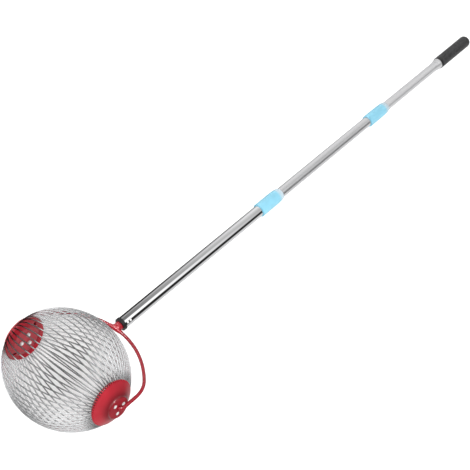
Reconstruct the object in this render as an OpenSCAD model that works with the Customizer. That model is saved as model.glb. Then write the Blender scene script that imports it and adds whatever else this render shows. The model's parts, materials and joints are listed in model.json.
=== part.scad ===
// Rolling nut gatherer: a ball of springy wires between two dished end caps, carried
// in a bent rod bail at the end of a three-tube telescopic pole with twist locks.
// It lies as it is put down on the ground: the ball and the end of the grip touch
// the floor, the rolling axle runs along Y and the pole runs towards +X.

/* [Cage] */
// Outside diameter of the wire ball at its middle
cage_d = 197; // [170:1:215]
// Diameter of one wire
wire_d = 2; // [1.6:0.1:2.4]
// Number of wires, an even number
wire_count = 58; // [40:2:60]
// Diameter of the circle on which the wires enter an end cap
rim_d = 79; // [74:0.5:86]
// Distance between the two circles on which the wires enter the caps
rim_span = 213; // [195:1:225]
// Length of wire that lies inside the cap, up to its hook
tail_len = 6.6; // [5.5:0.1:7.5]
// Bending radius of the hook at each end of a wire
hook_r = 3; // [2.6:0.1:3.4]

/* [End caps] */
// Wall of the dish
cap_wall = 2; // [1.6:0.1:2.6]
// How far the dish reaches past the circle of the wires
cap_edge = 1.5; // [1:0.1:2]
// Length of the teeth between the wires, measured along the dish
tooth_len = 2.5; // [2:0.1:3]
// Diameter of the raised flat hub
hub_d = 40; // [36:0.5:44]
// Height of the hub above the dish
hub_rise = 3.6; // [2.6:0.1:4.6]
// Thickness of the hub plate
hub_t = 5; // [4:0.1:6]
// Diameter of the boss that turns on the bail
pivot_boss_d = 12; // [11:0.1:12.4]
// Length of the bearing in the hub
pivot_len = 13.5; // [11:0.1:15]
// Radius of the hollow between the dish and the hub
hub_hollow = 4; // [2:0.5:4.5]
// Rounding of the outer edges of the hub and the rim
cap_round = 0.8; // [0.5:0.1:1.2]

/* [Clamp discs] */
// Wall of the disc
clamp_wall = 2.2; // [1.8:0.1:2.8]
// Length of the cone that carries the wires
clamp_flange = 6.5; // [5.8:0.1:7]
// Diameter of the flat middle of the disc
clamp_flat_d = 48; // [44:0.5:52]
// Distance from the outer face of the hub to the inner face of the disc
clamp_depth = 24; // [22:0.5:26]
// Diameter of the windows in the flank of the disc
window_d = 7; // [5:0.5:8]
// Number of windows in the flank
window_count = 2; // [1:1:4]

/* [Cap screws] */
// Number of screws in one cap
screw_count = 3; // [2:1:4]
// Diameter of the circle of screws
screw_circle_d = 21; // [20.6:0.1:23]
// Diameter of the screw shank
screw_d = 4; // [3:0.1:4.4]
// Diameter of the screw head
screw_head_d = 7; // [6:0.1:7.4]
// Height of the screw head, which is sunk into the hub
screw_head_h = 2; // [1.4:0.1:2.4]
// Diameter of the post that guides a screw
post_d = 8; // [7.4:0.1:8.4]
// Width of the nut across its corners
nut_d = 8; // [7:0.1:8.6]
// Height of the nut
nut_h = 3; // [2.4:0.1:4]

/* [Bail] */
// Diameter of the coated rod
rod_d = 6; // [5:0.1:6.6]
// Space between the ball and the middle of the bow
bow_gap = 11.5; // [10:0.5:22]
// Radius of the shoulders between the bow and the legs
shoulder_r = 43; // [34:1:50]
// Length of the straight part of a leg
leg_len = 27.5; // [20:0.5:36]
// Space between a leg and the hub
leg_gap = 2; // [1.4:0.1:3.4]
// Bending radius of the turned-in ends
bend_r = 6; // [5.6:0.1:7]
// Length of rod left inside the cap past the bearing
pivot_tail = 6; // [4.6:0.1:7]
// Outside diameter of the push-on clip
clip_d = 11.2; // [9:0.1:11.6]
// Thickness of the push-on clip
clip_t = 1.2; // [0.8:0.1:1.6]

/* [Pole socket] */
// Length of the neck between the rod and the pole
neck_len = 7; // [6:0.5:12]
// Diameter of the neck
neck_d = 16; // [14:0.5:18]
// Diameter of the sleeve round the rod
sleeve_d = 8.6; // [7.8:0.1:11]
// Length of the sleeve along the rod
sleeve_len = 28; // [25:1:40]
// Thickness of the gusset between the neck and the sleeve
gusset_t = 7; // [6:0.1:7.6]
// Radius of the gusset
gusset_r = 5.5; // [4:0.5:5.5]
// Diameter of the stud inside the pole
stud_d = 12; // [10:0.1:12.6]
// Length of the stud inside the pole
stud_len = 28; // [20:0.5:32]
// Diameter of the flange of the end plug
plug_flange_d = 24; // [23:0.1:26]
// Length of the flange of the end plug
plug_flange_len = 6; // [5:0.1:10]
// Length of the end plug inside the tube
plug_len = 25; // [22:0.5:27]
// Diameter of a rivet head
rivet_head_d = 5; // [4:0.1:6]
// Diameter of a rivet shank
rivet_d = 3; // [2:0.1:3.4]
// Height of a rivet head above the tube
rivet_h = 1.1; // [0.8:0.1:1.6]
// Distance from the tube's end to the first rivet
rivet_start = 4.5; // [4:0.5:9]
// Distance between the rivets
rivet_step = 6.5; // [6.5:0.5:10]

/* [Pole] */
// Outside diameter of the lower tube
lower_tube_d = 22; // [20:0.1:24]
// Wall of the tubes
tube_wall = 0.6; // [0.5:0.05:0.8]
// Gap between one tube and the next
tube_gap = 0.3; // [0.2:0.05:0.4]
// Length of the lower tube that shows below its collar
lower_show = 353; // [350:1:420]
// Length of the middle tube that shows between the collars
mid_show = 271; // [200:1:271]
// Length of the top tube that shows below the grip
top_show = 173; // [120:1:200]
// How far a drawn-out tube stays inside, measured from the top of the collar
tube_overlap = 80; // [76:1:82]

/* [Collars] */
// Outside diameter of the lower collar
lower_collar_d = 26.6; // [25.6:0.1:29]
// Wall of a collar around its tube, which sets the upper collar's size
upper_collar_wall = 2.3; // [1.8:0.1:3]
// Length of a collar
collar_len = 60; // [56:1:70]
// Length of tube inside a collar
collar_grip = 40; // [34:1:44]
// Wall of a collar at its upper lip
collar_lip = 0.8; // [0.6:0.05:1.2]
// Chamfer at the lower end of a collar
collar_chamfer = 0.7; // [0.4:0.05:1]

/* [Twist locks] */
// Length of the lock spindle inside its tube
lock_plug_len = 25; // [18:0.5:30]
// Thickness of the spindle's flanges
lock_flange_t = 3; // [2:0.1:4]
// Width of the eccentric ring
lock_ring_w = 16; // [12:0.5:18]
// Offset of the ring's journal from the middle of the pole
lock_shift = 1; // [0.7:0.05:1.2]
// Gap between the ring and the tube when the lock is open
lock_gap = 0.5; // [0.45:0.01:0.6]

/* [Grip] */
// Outside diameter of the grip
grip_d = 25; // [24:0.1:30]
// Length of the grip
grip_len = 108; // [90:1:140]
// Radius of the grip's end
grip_dome = 10.5; // [5:0.5:11.5]
// Rounding of the grip's mouth
grip_round = 1; // [0.5:0.1:1.5]
// Thickness of the grip's closed end
grip_end_t = 8; // [6:0.5:12]
// Length of the flared ferrule below the grip
ferrule_len = 12; // [8:0.5:16]
// Outside diameter of the ferrule where it meets the grip
ferrule_d = 23; // [22:0.1:24]
// Wall of the ferrule at its thin end
ferrule_lip = 0.6; // [0.4:0.05:1]

/* [Hidden] */
$fn = 96;
// Facets of thin round sections
thin_fn = 24;
// Groups that the wires are drawn in
wire_groups = 3;
// Steps in a drawn curve
curve_steps = 8;
// Overrun of all cuts
over = 1;

// Clearances
// Wire against the cap and the clamp disc
seat_gap = 0.1;
// Wire in its notch
notch_gap = 0.15;
// Bail in the hub's bore
pivot_gap = 0.08;
// Clip against the hub's boss
clip_gap = 0.3;
// Pieces that are pressed together
press_gap = 0.03;
// Screw in its hole
screw_gap = 0.15;
// Inner tube in the neck of a collar
slide_gap = 0.15;
// Spindle's flanges in the tube
flange_gap = 0.25;
// Ring on its journal
journal_gap = 0.05;
// Ring between its flanges
ring_end_gap = 0.3;
// Tube's end in the grip
grip_bottom_gap = 2;

// Length of thread that stands out of its nut
screw_tip = 1;

// Bent bars
// How far a tight bend reaches into the stretch beside it
bend_overlap = 0.1;
// How much a bar is drawn down where it is bent tightly
bend_skin = 0.05;
// Turn of the hook at the end of a wire
hook_turn = 90;

// Proportions
// Diameter of a journal as a share of the bore that its ring locks in
journal_share = 0.48;
// Opening of a ring as a share of its journal
ring_slot_share = 0.72;
// Length of a collar's straight part as a share of the collar
collar_straight_share = 0.6;
// Rounded edge of a screw head as a share of its height
head_round_share = 0.5;
// Chamfer of the plug's flange as a share of its length
plug_chamfer_share = 0.12;
// Chamfer at the mouth of the bearing as a share of the rod
pivot_chamfer_share = 0.2;
// Middle of the windows between the flat and the flange of a clamp disc
window_place_share = 0.72;

// Angle of the rivets from the top of the tube towards the left cap
rivet_turn = 60;
// Turn of the right cap against the left one, in wire pitches
right_cap_pitches = 8;
// Turn of the windows against the screws
window_turn = 25;

// Cage
wire_r = wire_d / 2;
cage_r = (cage_d - wire_d) / 2;
rim_r = rim_d / 2;
rim_y = rim_span / 2;
wire_pitch = 360 / wire_count;
arc_turn = 2 * atan((cage_r - rim_r) / rim_y);
arc_r = rim_y / sin(arc_turn);
tail_turn = tail_len / arc_r * 180 / PI;
cone_turn = arc_turn + tail_turn / 2;

// A point on the cone of a cap: along is measured from the wire circle towards the
// axle, out is measured square to the cone. It gives the radius and the height
// above the middle of the cage.
function cone_pt(along, out) = [
    rim_r - along * sin(cone_turn) + out * cos(cone_turn),
    rim_y + along * cos(cone_turn) + out * sin(cone_turn)
];
// Height of the cone at a radius, and its radius at a height
function cone_h(r, out) = rim_y + out * sin(cone_turn) + (rim_r + out * cos(cone_turn) - r) / tan(cone_turn);
function cone_r(h, out) = rim_r + out * cos(cone_turn) - (h - rim_y - out * sin(cone_turn)) * tan(cone_turn);

dish_in = wire_r + seat_gap;
dish_out = dish_in + cap_wall;
tooth_out = seat_gap - wire_r;
flange_out = -wire_r - seat_gap;
hub_r = hub_d / 2;
hub_h = cone_h(hub_r, dish_out) + hub_rise;
hub_in_h = hub_h - hub_t;
hollow_h = cone_h(hub_r + hub_hollow, dish_out + hub_hollow);
pivot_r = rod_d / 2 + pivot_gap;
pivot_chamfer = rod_d * pivot_chamfer_share;
boss_r = pivot_boss_d / 2;
boss_h = hub_h - pivot_len;
screw_circle_r = screw_circle_d / 2;
flat_r = clamp_flat_d / 2;
flat_h = hub_h - clamp_depth;
flat_in_h = flat_h + clamp_wall;
window_out = flange_out - clamp_wall / 2;
window_edge = cone_pt(clamp_flange, window_out);
window_r = flat_r + (window_edge[0] - flat_r) * window_place_share;

// Bail
leg_y = hub_h + leg_gap + rod_d / 2;
bail_reach = cage_d / 2 + bow_gap + rod_d / 2;
shoulder_x = bend_r + leg_len;
shoulder_y = leg_y - shoulder_r;
// The bow runs through the middle of its reach and smoothly into both shoulders
bow_depth = bail_reach - shoulder_x;
bail_r = (pow(bow_depth, 2) + pow(shoulder_y, 2) - pow(shoulder_r, 2)) / (2 * (bow_depth - shoulder_r));
bail_x = bail_reach - bail_r;
bail_turn = atan2(shoulder_y, shoulder_x - bail_x);
pivot_end_y = boss_h - pivot_tail;

// Pole, measured from the axle
socket_x = bail_reach;
plug_x = bail_reach + rod_d / 2 + neck_len;
tube_x = plug_x + plug_flange_len;
lower_collar_x = tube_x + lower_show;
mid_x = lower_collar_x + collar_len;
upper_collar_x = mid_x + mid_show;
top_x = upper_collar_x + collar_len;
ferrule_x = top_x + top_show;
grip_x = ferrule_x + ferrule_len;
grip_end_x = grip_x + grip_len;

tube_step = 2 * (tube_wall + tube_gap);
mid_tube_d = lower_tube_d - tube_step;
top_tube_d = mid_tube_d - tube_step;
upper_collar_d = mid_tube_d + 2 * upper_collar_wall;
lower_bore_d = lower_tube_d - 2 * tube_wall;
mid_bore_d = mid_tube_d - 2 * tube_wall;
top_bore_d = top_tube_d - 2 * tube_wall;

// The pole dips until the end of the grip touches the floor
axle_h = cage_r * cos(wire_pitch / 2) + wire_r;
grip_r = grip_d / 2;
dome_x = grip_end_x - grip_dome;
dome_r = grip_r - grip_dome;
pole_dip = asin((axle_h - grip_dome) / norm([dome_x, dome_r])) - atan2(dome_r, dome_x);
far_x = dome_x * cos(pole_dip) + dome_r * sin(pole_dip) + grip_dome;
cage_x = (cage_d / 2 - far_x) / 2;

// Places

// At the middle of the cage, with the axle along Y
module at_axle() {
    translate([cage_x, 0, axle_h]) children();
}

// At the middle of the cage, with the pole along X
module at_pole() {
    at_axle() rotate([0, pole_dip, 0]) children();
}

// The right cap's place, and the left cap's place as half a turn about X
module right_side() {
    at_axle() rotate([0, -right_cap_pitches * wire_pitch, 0]) children();
}

module left_side() {
    at_axle() rotate([180, 0, 0]) children();
}

// Once for each wire from the first to the last, with X pointing from the axle to the wire
module each_wire(first = 0, last = wire_count - 1) {
    for (k = [first : last])
        rotate([0, 90 - (k + 0.5) * wire_pitch, 0]) children();
}

// Once for each screw of a cap, with Z along the axle
module each_screw() {
    for (k = [0 : screw_count - 1])
        rotate([-90, k * 360 / screw_count, 0]) translate([screw_circle_r, 0, 0]) children();
}

// A solid turned about the axle, from points of radius and height
module turned_on_axle(points) {
    rotate([-90, 0, 0]) rotate_extrude() polygon(points);
}

// A solid turned about the pole, from points of radius and distance
module turned_on_pole(points) {
    rotate([0, 90, 0]) rotate_extrude() polygon(points);
}

// A plain ring on the pole
module pole_ring(inner_r, outer_r, from_x, to_x) {
    turned_on_pole([[inner_r, from_x], [outer_r, from_x], [outer_r, to_x], [inner_r, to_x]]);
}

// A round bar bent to an arc in the XY plane
module bent_bar(d, radius, start_turn, turn) {
    rotate_extrude(angle = turn, start = start_turn) translate([radius, 0]) circle(d = d, $fn = thin_fn);
}

// How far a tight bend reaches into the stretch beside it
function bar_turn(radius) = bend_overlap / radius * 180 / PI;

// Cage pieces

// One wire: a long arc with a hook at each end, which is a hair thinner where it is bent
module wire() {
    end_turn = arc_turn + tail_turn;
    hook_x = cage_r - arc_r + (arc_r - hook_r) * cos(end_turn);
    hook_y = (arc_r - hook_r) * sin(end_turn);
    hook_d = wire_d - 2 * bend_skin;
    translate([cage_r - arc_r, 0, 0]) bent_bar(wire_d, arc_r, -end_turn, 2 * end_turn);
    for (flip = [0, 180])
        rotate([flip, 0, 0]) translate([hook_x, hook_y, 0])
            bent_bar(hook_d, hook_r, end_turn - bar_turn(hook_r), hook_turn);
}

// The notch that a wire takes in the rim of a cap
module rim_notch() {
    notch_w = wire_d + 2 * notch_gap;
    notch_h = dish_out - tooth_out + 2 * over;
    corner = cone_pt(-cap_edge - over, tooth_out - over);
    translate([corner[0], corner[1], -notch_w / 2])
        rotate([0, 0, cone_turn])
            cube([notch_h, tooth_len + over, notch_w]);
}

module end_cap() {
    difference() {
        union() {
            turned_on_axle(concat(
                [
                    cone_pt(-cap_edge, tooth_out),
                    cone_pt(-cap_edge, dish_out - cap_round),
                    cone_pt(cap_round - cap_edge, dish_out)
                ],
                [
                    for (k = [0 : curve_steps])
                        [
                            hub_r + hub_hollow * (1 - cos(cone_turn * (1 - k / curve_steps))),
                            hollow_h - hub_hollow * sin(cone_turn * (1 - k / curve_steps))
                        ]
                ],
                [
                    [hub_r, hub_h - cap_round],
                    [hub_r - cap_round, hub_h],
                    [pivot_r + pivot_chamfer, hub_h],
                    [pivot_r, hub_h - pivot_chamfer],
                    [pivot_r, boss_h],
                    [boss_r, boss_h],
                    [boss_r, hub_in_h],
                    [cone_r(hub_in_h, dish_in), hub_in_h],
                    cone_pt(tooth_len - cap_edge, dish_in),
                    cone_pt(tooth_len - cap_edge, tooth_out)
                ]
            ));
            each_screw() translate([0, 0, flat_in_h])
                cylinder(d = post_d, h = hub_h - screw_head_h - flat_in_h);
        }
        each_wire() rim_notch();
        each_screw() {
            translate([0, 0, flat_in_h - over])
                cylinder(d = screw_d + 2 * screw_gap, h = clamp_depth + over);
            translate([0, 0, hub_h - screw_head_h])
                cylinder(d = screw_head_d + 2 * screw_gap, h = screw_head_h + over);
        }
    }
}

module clamp_disc() {
    difference() {
        turned_on_axle([
            cone_pt(-cap_edge, flange_out),
            cone_pt(clamp_flange, flange_out),
            [flat_r + clamp_wall, flat_in_h],
            [0, flat_in_h],
            [0, flat_h],
            [flat_r, flat_h],
            cone_pt(clamp_flange - clamp_wall, flange_out - clamp_wall),
            cone_pt(-cap_edge, flange_out - clamp_wall)
        ]);
        each_screw() translate([0, 0, flat_h - over])
            cylinder(d = screw_d + 2 * screw_gap, h = clamp_wall + 2 * over);
        for (k = [0 : window_count - 1])
            rotate([-90, window_turn + k * 360 / window_count, 0]) translate([window_r, 0, flat_h])
                cylinder(d = window_d, h = 2 * clamp_depth, center = true);
    }
}

// The screw's axis is Z, its head lies flush with the hub
module cap_screw() {
    head_r = screw_head_d / 2;
    head_round = screw_head_h * head_round_share;
    tip_h = flat_h - nut_h - screw_tip;
    rotate_extrude() polygon([
        [0, tip_h],
        [screw_d / 2, tip_h],
        [screw_d / 2, hub_h - screw_head_h],
        [head_r, hub_h - screw_head_h],
        [head_r, hub_h - head_round],
        [head_r - head_round, hub_h],
        [0, hub_h]
    ]);
}

module cap_nut() {
    translate([0, 0, flat_h - nut_h]) difference() {
        cylinder(d = nut_d, h = nut_h, $fn = 6);
        translate([0, 0, -over]) cylinder(d = screw_d + 2 * press_gap, h = nut_h + 2 * over);
    }
}

module retaining_clip() {
    clip_top = boss_h - clip_gap;
    turned_on_axle([
        [rod_d / 2 + press_gap, clip_top - clip_t],
        [clip_d / 2, clip_top - clip_t],
        [clip_d / 2, clip_top],
        [rod_d / 2 + press_gap, clip_top]
    ]);
}

// One group of neighbouring wires, counted from one
module wire_group(number) {
    first = floor(wire_count * (number - 1) / wire_groups);
    last = floor(wire_count * number / wire_groups) - 1;
    at_axle() each_wire(first, last) wire();
}

module cage_wires_1() {
    color("gainsboro") wire_group(1);
}

module cage_wires_2() {
    color("gainsboro") wire_group(2);
}

module cage_wires_3() {
    color("gainsboro") wire_group(3);
}

module left_end_cap() {
    color("crimson") left_side() end_cap();
}

module right_end_cap() {
    color("crimson") right_side() end_cap();
}

module left_clamp_disc() {
    color("firebrick") left_side() clamp_disc();
}

module right_clamp_disc() {
    color("firebrick") right_side() clamp_disc();
}

module left_cap_screws() {
    color("silver") left_side() each_screw() cap_screw();
}

module right_cap_screws() {
    color("silver") right_side() each_screw() cap_screw();
}

module left_cap_nuts() {
    color("silver") left_side() each_screw() cap_nut();
}

module right_cap_nuts() {
    color("silver") right_side() each_screw() cap_nut();
}

module left_retaining_clip() {
    color("gray") left_side() retaining_clip();
}

module right_retaining_clip() {
    color("gray") right_side() retaining_clip();
}

// Bail and socket

module bail() {
    tight_d = rod_d - 2 * bend_skin;
    shoulder_start = bail_turn - bar_turn(shoulder_r);
    shoulder_sweep = 90 - bail_turn + 2 * bar_turn(shoulder_r);
    color("crimson") at_pole() {
        translate([bail_x, 0, 0]) bent_bar(rod_d, bail_r, -bail_turn, 2 * bail_turn);
        for (flip = [0, 180]) rotate([flip, 0, 0]) {
            translate([shoulder_x, shoulder_y, 0])
                bent_bar(tight_d, shoulder_r, shoulder_start, shoulder_sweep);
            translate([bend_r, leg_y, 0]) rotate([0, 90, 0])
                cylinder(d = rod_d, h = leg_len, $fn = thin_fn);
            translate([bend_r, leg_y - bend_r, 0])
                bent_bar(tight_d, bend_r, 90 - bar_turn(bend_r), 90 + 2 * bar_turn(bend_r));
            translate([0, pivot_end_y, 0]) rotate([-90, 0, 0])
                cylinder(d = rod_d, h = leg_y - bend_r - pivot_end_y, $fn = thin_fn);
        }
    }
}

// Outline of the gusset: the neck widens in two hollow curves towards the rod
module gusset_outline() {
    gusset_w = neck_d / 2 + gusset_r;
    gusset_x = socket_x + rod_d / 2;
    difference() {
        translate([socket_x, -gusset_w]) square([rod_d / 2 + gusset_r, 2 * gusset_w]);
        for (side = [-1, 1])
            translate([gusset_x + gusset_r, side * gusset_w]) circle(r = gusset_r);
    }
}

module pole_socket() {
    sleeve_turn = sleeve_len / 2 / bail_r * 180 / PI;
    color("crimson") at_pole() difference() {
        union() {
            translate([bail_x, 0, 0]) bent_bar(sleeve_d, bail_r, -sleeve_turn, 2 * sleeve_turn);
            translate([0, 0, -gusset_t / 2]) linear_extrude(gusset_t) gusset_outline();
            turned_on_pole([
                [0, socket_x],
                [neck_d / 2, socket_x],
                [neck_d / 2, plug_x],
                [stud_d / 2, plug_x],
                [stud_d / 2, plug_x + stud_len],
                [0, plug_x + stud_len]
            ]);
        }
        translate([bail_x, 0, 0])
            bent_bar(rod_d + 2 * press_gap, bail_r, -2 * sleeve_turn, 4 * sleeve_turn);
    }
}

// Once for each rivet, with Z pointing out of the tube
module each_rivet() {
    for (k = [0, 1])
        translate([tube_x + rivet_start + k * rivet_step, 0, 0]) rotate([rivet_turn, 0, 0]) children();
}

module rivet_hole() {
    cylinder(d = rivet_d + 2 * press_gap, h = lower_tube_d);
}

module tube_end_plug() {
    chamfer = plug_flange_len * plug_chamfer_share;
    bore_r = stud_d / 2 + press_gap;
    plug_r = lower_bore_d / 2 - press_gap;
    color("dimgray") at_pole() difference() {
        turned_on_pole([
            [bore_r, plug_x],
            [plug_flange_d / 2 - chamfer, plug_x],
            [plug_flange_d / 2, plug_x + chamfer],
            [plug_flange_d / 2, tube_x],
            [plug_r, tube_x],
            [plug_r, tube_x + plug_len],
            [bore_r, tube_x + plug_len]
        ]);
        each_rivet() rivet_hole();
    }
}

module plug_rivets() {
    head_r = rivet_head_d / 2;
    tube_r = lower_tube_d / 2;
    ball_r = (pow(head_r, 2) + pow(rivet_h, 2)) / (2 * rivet_h);
    color("silver") at_pole() each_rivet() {
        translate([0, 0, stud_d / 2 + press_gap]) cylinder(d = rivet_d, h = tube_r - stud_d / 2);
        difference() {
            translate([0, 0, tube_r + rivet_h - ball_r]) sphere(r = ball_r);
            rotate([0, 90, 0]) cylinder(r = tube_r + press_gap, h = 2 * ball_r, center = true);
            translate([0, 0, -2 * ball_r]) cylinder(r = 2 * ball_r, h = tube_r + 2 * ball_r);
        }
    }
}

// Pole

module lower_tube() {
    color("lightgray") at_pole() difference() {
        pole_ring(lower_bore_d / 2, lower_tube_d / 2, tube_x, lower_collar_x + collar_grip);
        each_rivet() rivet_hole();
    }
}

module mid_tube() {
    color("lightgray") at_pole()
        pole_ring(mid_bore_d / 2, mid_tube_d / 2, mid_x - tube_overlap, upper_collar_x + collar_grip);
}

module top_tube() {
    top_end_x = grip_end_x - grip_end_t - grip_bottom_gap;
    color("gainsboro") at_pole()
        pole_ring(top_bore_d / 2, top_tube_d / 2, top_x - tube_overlap, top_end_x);
}

// A collar: a sleeve that grips the end of one tube and guides the next, thinner one
module collar(outer_d, tube_d, next_d, start_x) {
    straight = collar_len * collar_straight_share;
    taper = collar_len - straight;
    outer_r = outer_d / 2;
    tube_r = tube_d / 2 + press_gap;
    next_r = next_d / 2 + slide_gap;
    drop = outer_r - next_r - collar_lip;
    turned_on_pole(concat(
        [
            [tube_r, start_x],
            [outer_r - collar_chamfer, start_x],
            [outer_r, start_x + collar_chamfer]
        ],
        [
            for (k = [0 : curve_steps])
                [
                    outer_r - drop * (1 - cos(90 * k / curve_steps)),
                    start_x + straight + taper * sin(90 * k / curve_steps)
                ]
        ],
        [
            [next_r, start_x + collar_len],
            [next_r, start_x + collar_grip],
            [tube_r, start_x + collar_grip]
        ]
    ));
}

module lower_collar() {
    color("skyblue") at_pole() collar(lower_collar_d, lower_tube_d, mid_tube_d, lower_collar_x);
}

module upper_collar() {
    color("skyblue") at_pole() collar(upper_collar_d, mid_tube_d, top_tube_d, upper_collar_x);
}

// Twist locks: each hangs on the lower end of a tube, at end_x, inside the next wider bore

// Start of the ring, seen from the lower end
function ring_x(end_x) = end_x - lock_flange_t - ring_end_gap - lock_ring_w;

module lock_spindle(end_x, tube_bore_d, outer_bore_d) {
    plug_r = tube_bore_d / 2 - press_gap;
    flange_r = outer_bore_d / 2 - flange_gap;
    journal_d = outer_bore_d * journal_share;
    journal_x = ring_x(end_x) - ring_end_gap;
    pole_ring(0, plug_r, end_x, end_x + lock_plug_len);
    pole_ring(0, flange_r, end_x - lock_flange_t, end_x);
    pole_ring(0, flange_r - lock_shift, journal_x - lock_flange_t, journal_x);
    translate([journal_x - lock_flange_t / 2, 0, lock_shift]) rotate([0, 90, 0])
        cylinder(d = journal_d, h = end_x - journal_x);
}

module lock_ring(end_x, outer_bore_d) {
    journal_d = outer_bore_d * journal_share;
    slot_w = journal_d * ring_slot_share;
    start_x = ring_x(end_x);
    difference() {
        pole_ring(0, outer_bore_d / 2 - lock_gap, start_x, start_x + lock_ring_w);
        translate([start_x - over, 0, lock_shift]) rotate([0, 90, 0])
            cylinder(d = journal_d + 2 * journal_gap, h = lock_ring_w + 2 * over);
        translate([start_x - over, -slot_w / 2, lock_shift])
            cube([lock_ring_w + 2 * over, slot_w, outer_bore_d]);
    }
}

module mid_lock_spindle() {
    color("white") at_pole() lock_spindle(mid_x - tube_overlap, mid_bore_d, lower_bore_d);
}

module mid_lock_ring() {
    color("ivory") at_pole() lock_ring(mid_x - tube_overlap, lower_bore_d);
}

module top_lock_spindle() {
    color("white") at_pole() lock_spindle(top_x - tube_overlap, top_bore_d, mid_bore_d);
}

module top_lock_ring() {
    color("ivory") at_pole() lock_ring(top_x - tube_overlap, mid_bore_d);
}

// Grip

module grip_ferrule() {
    thin_r = top_tube_d / 2 + press_gap;
    flare = ferrule_d / 2 - thin_r - ferrule_lip;
    color("gainsboro") at_pole() turned_on_pole(concat(
        [
            for (k = [0 : curve_steps])
                [
                    thin_r + ferrule_lip + flare * (1 - cos(180 * k / curve_steps)) / 2,
                    ferrule_x + ferrule_len * k / curve_steps
                ]
        ],
        [
            [thin_r, grip_x],
            [thin_r, ferrule_x]
        ]
    ));
}

module handle_grip() {
    bore_r = top_tube_d / 2 + press_gap;
    color("dimgray") at_pole() turned_on_pole(concat(
        [
            [bore_r, grip_x],
            [grip_r - grip_round, grip_x],
            [grip_r, grip_x + grip_round]
        ],
        [
            for (k = [0 : curve_steps])
                [
                    dome_r + grip_dome * cos(90 * k / curve_steps),
                    dome_x + grip_dome * sin(90 * k / curve_steps)
                ]
        ],
        [
            [0, grip_end_x],
            [0, grip_end_x - grip_end_t],
            [bore_r, grip_end_x - grip_end_t]
        ]
    ));
}

cage_wires_1();
cage_wires_2();
cage_wires_3();
left_end_cap();
right_end_cap();
left_clamp_disc();
right_clamp_disc();
left_cap_screws();
right_cap_screws();
left_cap_nuts();
right_cap_nuts();
left_retaining_clip();
right_retaining_clip();
bail();
pole_socket();
tube_end_plug();
plug_rivets();
lower_tube();
lower_collar();
mid_tube();
mid_lock_spindle();
mid_lock_ring();
upper_collar();
top_tube();
top_lock_spindle();
top_lock_ring();
grip_ferrule();
handle_grip();
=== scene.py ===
import json
import math

import bpy
from mathutils import Matrix, Vector


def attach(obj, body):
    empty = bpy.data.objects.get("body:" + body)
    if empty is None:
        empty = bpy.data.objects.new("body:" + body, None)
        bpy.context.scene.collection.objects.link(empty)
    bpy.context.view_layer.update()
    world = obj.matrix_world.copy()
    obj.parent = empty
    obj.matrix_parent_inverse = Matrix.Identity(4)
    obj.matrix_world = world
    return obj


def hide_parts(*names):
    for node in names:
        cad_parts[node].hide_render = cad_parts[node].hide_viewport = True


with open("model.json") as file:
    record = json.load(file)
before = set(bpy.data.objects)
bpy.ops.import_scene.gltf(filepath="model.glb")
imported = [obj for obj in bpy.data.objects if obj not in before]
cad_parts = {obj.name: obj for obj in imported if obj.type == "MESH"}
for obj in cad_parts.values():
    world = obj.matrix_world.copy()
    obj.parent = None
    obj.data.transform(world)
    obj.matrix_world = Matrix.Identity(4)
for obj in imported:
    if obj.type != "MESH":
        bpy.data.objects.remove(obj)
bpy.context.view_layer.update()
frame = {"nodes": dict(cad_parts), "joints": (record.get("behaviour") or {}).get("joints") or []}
nodes = frame["nodes"]
joints = {joint["name"]: joint for joint in frame["joints"]}

MM = 0.001
SIDES = ("left", "right")

# The axle's place and the pole's direction, read from the part's joints
AXLE = Vector(joints["cage_spin"]["pos_m"])
AXLE_DIR = Vector((0, 1, 0))
POLE = Vector(joints["mid_tube_slide"]["axis"]).normalized()
POLE_UP = POLE.cross(AXLE_DIR)
POLE_DIP = math.atan2(-POLE.z, POLE.x)

# Sizes in mm, as in the part's source, with the grip's end a hair shorter so that it stays inside
CAGE_D = 197
WIRE_D = 2
WIRE_COUNT = 58
WIRE_PITCH = 360 / WIRE_COUNT
RIM_D = 79
RIM_SPAN = 213
TAIL_LEN = 6.6
HOOK_R = 3
HUB_H = 125.616
FLAT_H = 101.616
SCREW_CIRCLE_R = 10.5
SCREW_COUNT = 3
SCREW_D = 4
HEAD_D = 7
HEAD_H = 2
NUT_D = 8
NUT_H = 3
SCREW_TIP = 1
RIGHT_CAP_PITCHES = 8
BAIL_REACH = 113
BAIL_R = 166.408
PLUG_X = 123
TUBE_X = 129
STUD_D = 12
STUD_LEN = 28
NECK_D = 16
TUBE_R = 11
RIVET_R = 2.5
RIVET_RISE = 1.1
RIVET_TURN = 60
RIVET_PLACES = (4.5, 11)
LOWER_COLLAR_X = 482
UPPER_COLLAR_X = 813
COLLAR_LEN = 60
TOP_TUBE_R = 9.2
FERRULE_X = 1046
FERRULE_R = 11.5
GRIP_X = 1058
GRIP_END_X = 1165.95
GRIP_R = 12.5
GRIP_DOME = 10.5


def pole_point(along, side, up):
    """A point given in mm from the axle: along the pole, along the axle and square to both."""
    return AXLE + MM * (along * POLE + side * AXLE_DIR + up * POLE_UP)


# Mesh helpers

def turns(count):
    """Equal steps round a circle, in radians."""
    return [2 * math.pi * step / count for step in range(count)]


def ring_faces(rings, sides):
    """Quads between rings of points, with a cap at each end."""
    faces = []
    for ring in range(rings - 1):
        for k in range(sides):
            a = ring * sides + k
            b = ring * sides + (k + 1) % sides
            faces.append((a, b, b + sides, a + sides))
    faces.append(tuple(reversed(range(sides))))
    faces.append(tuple(range((rings - 1) * sides, rings * sides)))
    return faces


def sweep(path, radii, across, sides):
    """A round bar along points of a plane, whose normal is across."""
    verts = []
    for k, point in enumerate(path):
        before = path[max(k - 1, 0)]
        after = path[min(k + 1, len(path) - 1)]
        out = (after - before).normalized().cross(across)
        for turn in turns(sides):
            verts.append(point + radii[k] * (math.cos(turn) * out + math.sin(turn) * across))
    return verts, ring_faces(len(path), sides)


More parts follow.
